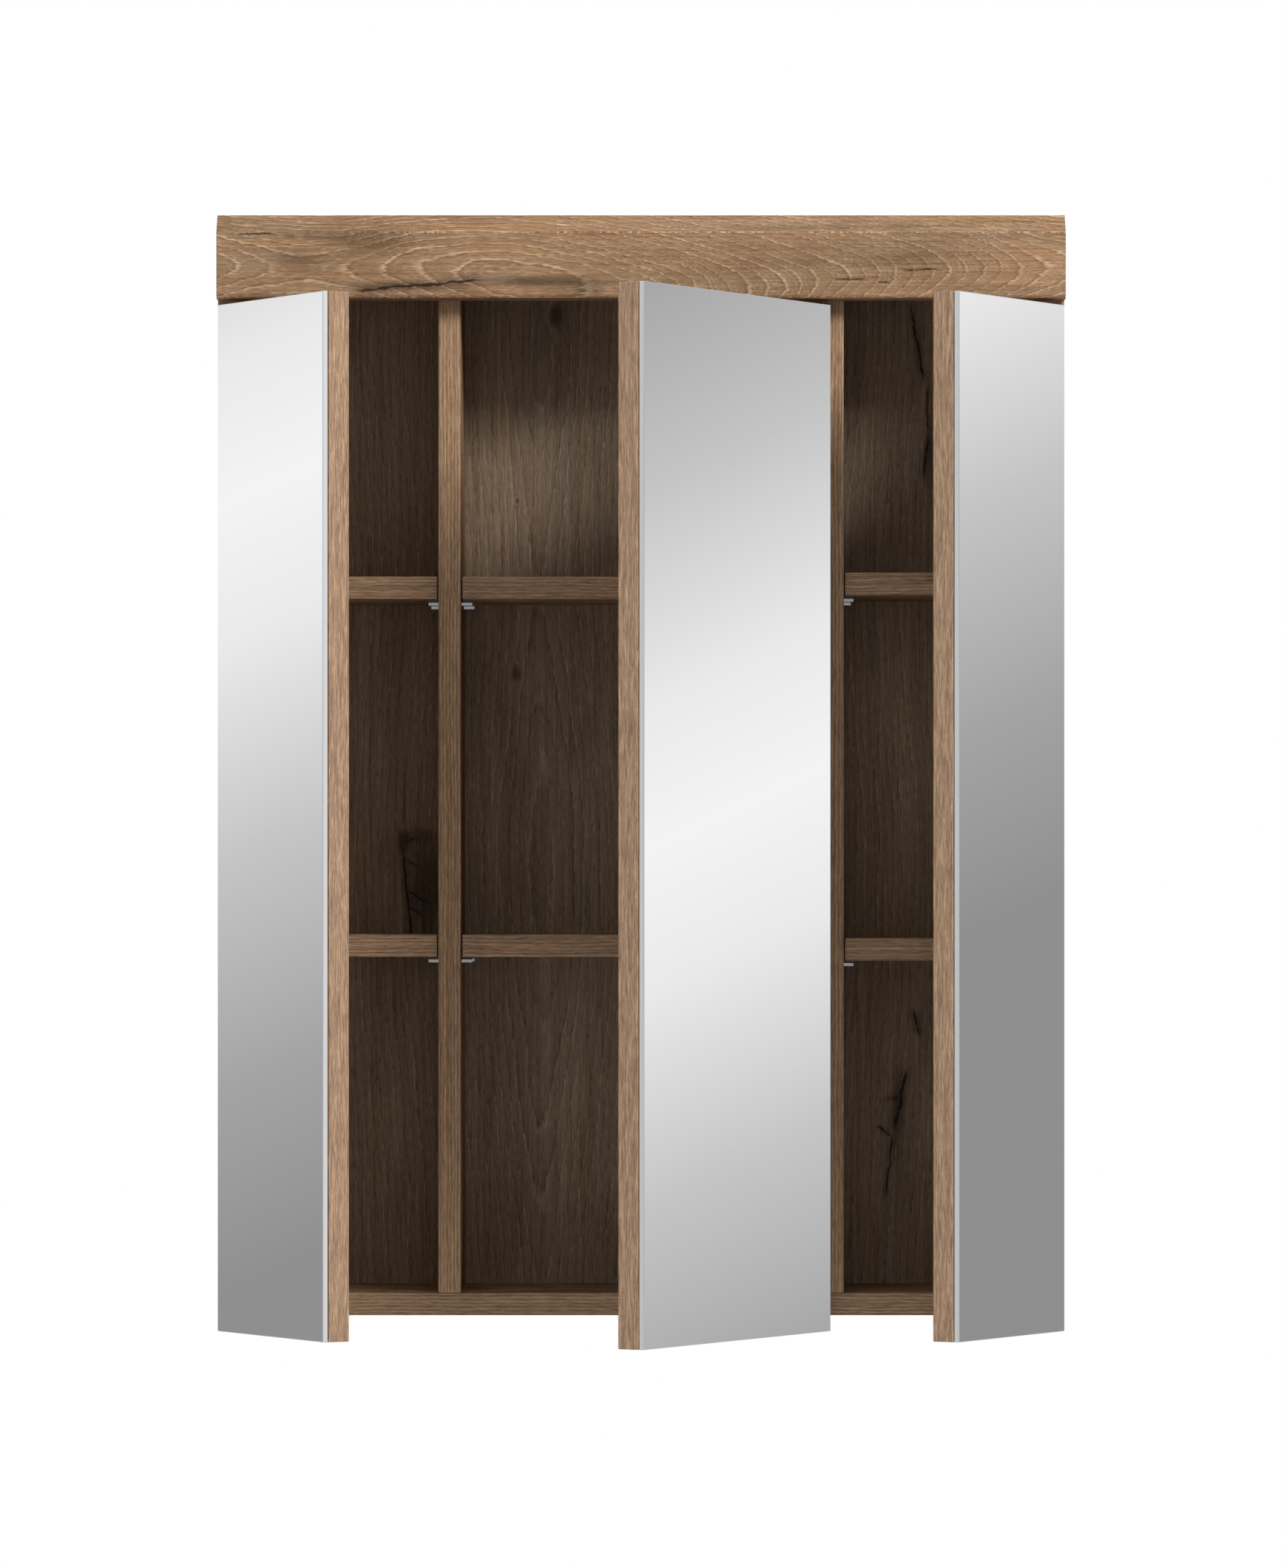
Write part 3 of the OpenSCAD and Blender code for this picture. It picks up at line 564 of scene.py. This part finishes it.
class CABINET_OT_carcass(bpy.types.Operator):
    """Side panels, top, bottom, partitions and back, with eased edges"""

    bl_idname = "cabinet.carcass"
    bl_label = "Carcass"

    def execute(self, context):
        upright = oak(
            "oak_upright", "Z", "X", shade=0.95, heart=(-0.09, 0.02), lean=0.022, liming=0.75
        )
        level = oak("oak_level", "X", "Z", shade=0.95, heart=(-0.10, -0.20), liming=0.75)
        back = oak(
            "oak_back",
            "Z",
            "Y",
            shade=(1.01, 1.19, 1.40),
            heart=(-0.070, -0.022),
            lean=0.0,
            rings=185.0,
            hills=((-0.228, 0.19, 0.0136), (-0.80, 0.38, 0.026)),
            knots=(
                ((-0.0612, -0.0335), 0.0040),
                ((-0.0900, -0.1675), 0.0012),
                ((-0.0905, -0.2925), 0.0030),
                ((-0.1722, -0.4145), 0.0040),
            ),
            cracks=(
                # Round the knot in the left bay
                (-0.1656, -0.4920, -0.4117, -0.106, 0.0010),
                (-0.1538, -0.4606, -0.4490, -1.500, 0.0010),
                (-0.1730, -0.4170, -0.4110, 1.600, 0.0010),
                (-0.1600, -0.4340, -0.4265, -1.900, 0.0008),
                (-0.1580, -0.4700, -0.4600, -1.200, 0.0008),
                # At the top of the right bay
                (0.2047, -0.1560, -0.1150, 0.090, 0.0010),
                (0.2078, -0.1220, -0.0780, 0.010, 0.0005),
                (0.2064, -0.0860, -0.0200, -0.180, 0.0009),
                # At the foot of the right bay
                (0.1822, -0.6290, -0.5740, 0.219, 0.0015),
                (0.1768, -0.6780, -0.6220, 0.113, 0.0008),
                (0.2020, -0.5590, -0.5330, -0.186, 0.0011),
                (0.1822, -0.6300, -0.6190, -1.080, 0.0012),
            ),
            stains=(
                (-0.1330, 0.2095, 0.038, 0.0060, 0.55),
                (-0.0600, 0.2010, 0.040, 0.0045, 0.40),
                (-0.4480, -0.1520, 0.046, 0.0190, 0.60),
                (-0.4110, -0.1590, 0.006, 0.0170, 0.40),
                (-0.4200, -0.1860, 0.026, 0.0120, 0.22),
                (-0.0335, -0.0605, 0.011, 0.0070, 0.30),
                (-0.6012, 0.1835, 0.003, 0.0070, 0.55),
                (-0.6040, 0.1860, 0.036, 0.0065, 0.40),
            ),
            washes_and_shade=(
                (-0.3600, 0.1840, 0.130, 0.0450, 0.34),
                # Painted shade at the top of the middle bay's back, under the top panel
                (-0.0450, -0.0600, 0.050, 0.1000, -0.22),
                (-0.2100, 0.1800, 0.030, 0.0400, -0.10),
            ),
            liming=0.40,
            streaking=1.2,
        )
        upright_band = oak_band("oak_band_upright", "Z", shade=(1.06, 1.08, 1.06))
        level_band = oak_band("oak_band_level", "X", shade=(0.85, 0.87, 0.86))
        for node in ("left_side_panel", "right_side_panel", "left_partition", "right_partition"):
            eased_board(node, upright, upright_band)
        for node in ("top_panel", "bottom_panel"):
            eased_board(node, level, level_band)
        back_piece = eased_board("back_panel", back, back)
        back_piece.visible_glossy = True  # The supports' undersides mirror it and stay dark
        return {"FINISHED"}


class CABINET_OT_shelves(bpy.types.Operator):
    """The six shelves and what carries them"""

    bl_idname = "cabinet.shelves"
    bl_label = "Shelves"

    def execute(self, context):
        shelf = oak("oak_shelf", "X", "Z", shade=0.95, heart=(-0.11, -0.33), lean=0.05)
        band = oak_band("oak_band_shelf", "X", shade=(1.04, 1.07, 1.08))
        for door in DOORS:
            for level in ("lower", "upper"):
                eased_board(f"{door}_{level}_shelf", shelf, band)
        # The supports' zinc is a fifth darker than the other zinc, as painted shade under the
        # shelves
        shaded_zinc = rgba(context.scene.cabinet_colours.zinc, 0.8)[:3]
        supports = plated("zinc_supports", shaded_zinc, 0.30)
        dress([door + "_shelf_supports" for door in DOORS], supports)
        dress(["shelf_support_pads"], soft_plastic("black_pads", (0.012, 0.012, 0.012), 0.5))
        return {"FINISHED"}


class CABINET_OT_crown(bpy.types.Operator):
    """The crown board with its bevelled top edge, and the steel plates and angles"""

    bl_idname = "cabinet.crown"
    bl_label = "Crown board"

    def execute(self, context):
        crown = oak(
            "oak_crown",
            "X",
            "Y",
            shade=(0.98, 0.965, 0.935),
            heart=(-0.0105, -0.157),
            lean=0.0,
            rings=246.0,
            hills=((0.36, 0.44, 0.1085), (-0.235, 0.14, 0.018)),
            sags=((0.03, 0.20, 0.016),),
            cracks=(
                (-0.0271, -0.2070, -0.1080, 0.089, 0.0013),
                (-0.0118, 0.1780, 0.2165, 0.0, 0.0003),
                (-0.0184, 0.1325, 0.1620, 0.0, 0.0003),
                (-0.0204, 0.1660, 0.1765, 0.0, 0.0003),
                (0.0135, -0.2900, -0.2540, 0.0, 0.0003),
            ),
            stains=(
                (-0.1926, 0.0080, 0.030, 0.0080, 0.34),
                (-0.2466, -0.0060, 0.020, 0.0100, 0.20),
                (-0.0700, -0.0200, 0.062, 0.0055, 0.62),
                (-0.0360, -0.0268, 0.014, 0.0060, 0.50),
                (-0.1700, -0.0235, 0.050, 0.0045, 0.35),
                (0.1500, -0.0030, 0.160, 0.0400, 0.10),
            ),
            streaking=1.15,
            # Painted highlights along the edge under the chamfer and along the front's bottom edge
            arrises=((0.0148, -0.1698), (-0.0312, -0.1692)),
        )
        eased_board("crown_board", crown, crown)
        plates = plated("zinc_plates", context.scene.cabinet_colours.zinc, 0.36)
        dress(["crown_angles", "hanger_plates"], plates)
        return {"FINISHED"}


class CABINET_OT_doors(bpy.types.Operator):
    """Door boards, their mirrors, the tape between them and the bumpers"""

    bl_idname = "cabinet.doors"
    bl_label = "Doors"

    def execute(self, context):
        silver, edge, paint = mirror_silver(), ground_glass(), backing_paint()
        door_oak = oak("oak_door", "Z", "Y", heart=(0.0, 0.02), lean=0.03)
        band = oak_band("oak_band_door", "Z", shade=(1.04, 1.06, 1.10), dash=34.0, lines=0.25)
        tape = soft_plastic("foam_tape", (0.05, 0.05, 0.055), 0.8)
        rubber = soft_plastic("bumper_rubber", (0.50, 0.50, 0.50), 0.45)
        for door in DOORS:
            eased_board(door + "_door_board", door_oak, band)
            arrised_mirror(door, silver, edge, paint)
            dress([door + "_mirror_tape"], tape)
            dress([door + "_bumpers"], rubber)
        return {"FINISHED"}


class CABINET_OT_fittings(bpy.types.Operator):
    """Hinges, screws, cams and dowels"""

    bl_idname = "cabinet.fittings"
    bl_label = "Fittings"

    def execute(self, context):
        colours = context.scene.cabinet_colours
        nickel = plated("nickel_hinges", colours.nickel, 0.26)
        screws = plated("zinc_screws", colours.zinc, 0.38)
        cast = plated("cast_zinc_cams", (0.50, 0.51, 0.53), 0.48)
        beech = oak_band("beech_dowels", "X", shade=1.25)
        dress(["hinge_arms", "hinge_plates"], nickel)
        dress(["hinge_arm_pins", "hinge_plate_screws", "hinge_arm_screws"], screws)
        dress(["bracket_screws", "partition_screws", "cam_bolts"], screws)
        dress(["cam_locks"], cast)
        dress(["dowels"], beech)
        for door in DOORS:
            dress([door + "_hinge_cups", door + "_hinge_links"], nickel)
            dress([door + "_cup_pins", door + "_cup_screws"], screws)
        return {"FINISHED"}


def disc_lamp(name, place, target, size, power):
    data = bpy.data.lights.new(name, "AREA")
    data.shape = "DISK"
    data.size = size
    data.energy = power
    lamp = bpy.data.objects.new(name, data)
    lamp.location = place
    lamp.rotation_euler = (Vector(target) - Vector(place)).to_track_quat("-Z", "Y").to_euler()
    lamp.visible_glossy = False
    bpy.context.scene.collection.objects.link(lamp)


def mirrored_studio(r, bearing, elevation, forward):
    """What the mirrors show: a soft band of light whose brightest line climbs across the studio.
    The left door looks to the left half, the other two to the right half with a step between
    them. Bearing and elevation are in degrees, and forward is 1 for a ray straight to the wall."""
    leftward = 1.0 - r.between(bearing, -20.0, 20.0)
    left_peak = 2.62 - (bearing + 55.86) * 0.446
    turned = (58.8 - bearing).math("MAXIMUM", 0.0)
    step = r.between(turned, 1.45, 2.10) * 3.88
    right_peak = (turned * 0.46 + 0.2 + step).math("MINIMUM", 9.0)
    peak = leftward * left_peak + (1.0 - leftward) * right_peak

    away = abs(elevation - peak)
    # Degrees away from the brightest line, and the screen grey there
    fade = [(0, 243), (1, 233), (1.5, 221), (2.5, 196), (4.1, 163), (5.5, 143), (9, 142)]
    widest = fade[-1][0]
    stops = [(place / widest, (linear(grey) / MIRROR_SHARE,) * 3) for place, grey in fade]
    band = r.node("ShaderNodeValToRGB", {"stops": stops}, {0: away / widest})

    steep = r.between(abs(elevation), 9.0, 32.0) * 0.8
    band = r.blend(steep, band, r.grey(0.60))
    ceiling, ground = r.between(elevation, 2.0, 30.0), r.between(elevation, -5.0, -26.0)
    near_wall = r.grey(ceiling * 0.30 + ground * 0.28 + 0.45)
    return r.blend(r.between(forward * -1.0, 0.0, 0.5), band, near_wall)


class CABINET_OT_stage(bpy.types.Operator):
    """Floor, world, lamps and camera"""

    bl_idname = "cabinet.stage"
    bl_label = "Stage"

    def execute(self, context):
        sizes = context.scene.cabinet_sizes
        feet = CAD_BOX[0][2]
        self.make_floor(feet - sizes.floor_drop)
        self.make_world(context.scene)
        disc_lamp("key", (2.10, -3.10, 1.88), target=(0.0, -0.15, -0.2), size=1.42, power=138)
        disc_lamp("front_fill", (0.1, -4.6, -0.3), target=(0.0, -0.15, -0.37), size=1.0, power=4)
        self.make_camera(context.scene, (0, -sizes.camera_distance, feet + sizes.camera_rise))
        context.scene.view_settings.view_transform = "Standard"
        return {"FINISHED"}

    def make_camera(self, scene, place):
        """A level camera that looks along +Y, shifted upwards instead of tilted"""
        data = bpy.data.cameras.new("camera")
        data.lens = 188.03
        data.sensor_width = 36
        data.shift_x = 0.0006
        data.shift_y = 0.0618
        data.clip_end = 60
        camera = bpy.data.objects.new("camera", data)
        camera.location = place
        camera.rotation_euler = (math.radians(90), 0, 0)
        scene.collection.objects.link(camera)
        scene.camera = camera

    def make_floor(self, level):
        """A pale floor that looks white and still shows the cabinet's shadow"""
        shape = bmesh.new()
        bmesh.ops.create_grid(shape, x_segments=1, y_segments=1, size=14)
        bmesh.ops.translate(shape, vec=(0, 0, level), verts=shape.verts)
        mesh = bpy.data.meshes.new("floor")
        shape.to_mesh(mesh)
        shape.free()
        floor = bpy.data.objects.new("floor", mesh)
        bpy.context.scene.collection.objects.link(floor)
        made, r = new_material("pale_floor")
        seen = r.node("ShaderNodeLightPath", output="Is Camera Ray")
        matt = r.node("ShaderNodeBsdfDiffuse", inputs={"Color": (0.8, 0.8, 0.8, 1)})
        white = r.node("ShaderNodeEmission", inputs={"Color": (1, 1, 1, 1), "Strength": 1.0})
        mixed = r.node("ShaderNodeMixShader", inputs={0: seen * 0.92, 1: matt, 2: white})
        r.node("ShaderNodeOutputMaterial", inputs={"Surface": mixed})
        mesh.materials.append(made)
        floor.visible_glossy = False

    def make_world(self, scene):
        """White behind the cabinet, plain light on it, and a studio for the mirrors"""
        world = bpy.data.worlds.new("studio")
        scene.world = world
        world.use_nodes = True
        r = Recipe(world.node_tree)
        x, y, z = r.split(r.node("ShaderNodeTexCoord", output="Generated"))
        elevation = z.math("ARCSINE") * math.degrees(1)
        bearing = x.math("ARCTAN2", y) * math.degrees(1)
        band = mirrored_studio(r, bearing, elevation, y)
        plain = self.background(r, (0.97, 1.0, 1.07, 1), z * 0.46 + 0.395)
        mirrored = self.background(r, band, 1.0)
        white = self.background(r, (1, 1, 1, 1), 1.0)
        ways = r.node("ShaderNodeLightPath").socket.node.outputs
        glossy, camera = Wire(r, ways["Is Glossy Ray"]), Wire(r, ways["Is Camera Ray"])
        seen = r.node("ShaderNodeMixShader", inputs={0: glossy, 1: plain, 2: mirrored})
        seen = r.node("ShaderNodeMixShader", inputs={0: camera, 1: seen, 2: white})
        r.node("ShaderNodeOutputWorld", inputs={"Surface": seen})

    def background(self, r, colour, strength):
        return r.node("ShaderNodeBackground", inputs={"Color": colour, "Strength": strength})


OPERATORS = (
    CABINET_OT_carcass,
    CABINET_OT_shelves,
    CABINET_OT_crown,
    CABINET_OT_doors,
    CABINET_OT_fittings,
    CABINET_OT_stage,
)


class CABINET_PT_panel(bpy.types.Panel):
    """Lists the cabinet's sizes, colours and steps"""

    bl_idname = "CABINET_PT_panel"
    bl_label = "Mirror Cabinet"
    bl_space_type = "VIEW_3D"
    bl_region_type = "UI"
    bl_category = "Cabinet"

    def draw(self, context):
        for group in (context.scene.cabinet_sizes, context.scene.cabinet_colours):
            column = self.layout.column()
            for name in group.__annotations__:
                column.prop(group, name)
        for operator in OPERATORS:
            self.layout.operator(operator.bl_idname)


CLASSES = (CabinetSizes, CabinetColours, *OPERATORS, CABINET_PT_panel)


def register():
    for cls in CLASSES:
        bpy.utils.register_class(cls)
    bpy.types.Scene.cabinet_sizes = PointerProperty(type=CabinetSizes)
    bpy.types.Scene.cabinet_colours = PointerProperty(type=CabinetColours)


def unregister():
    del bpy.types.Scene.cabinet_colours
    del bpy.types.Scene.cabinet_sizes
    for cls in reversed(CLASSES):
        bpy.utils.unregister_class(cls)


def main():
    register()
    for operator in OPERATORS:
        group, step = operator.bl_idname.split(".")
        getattr(getattr(bpy.ops, group), step)()


if __name__ == "__main__":
    main()
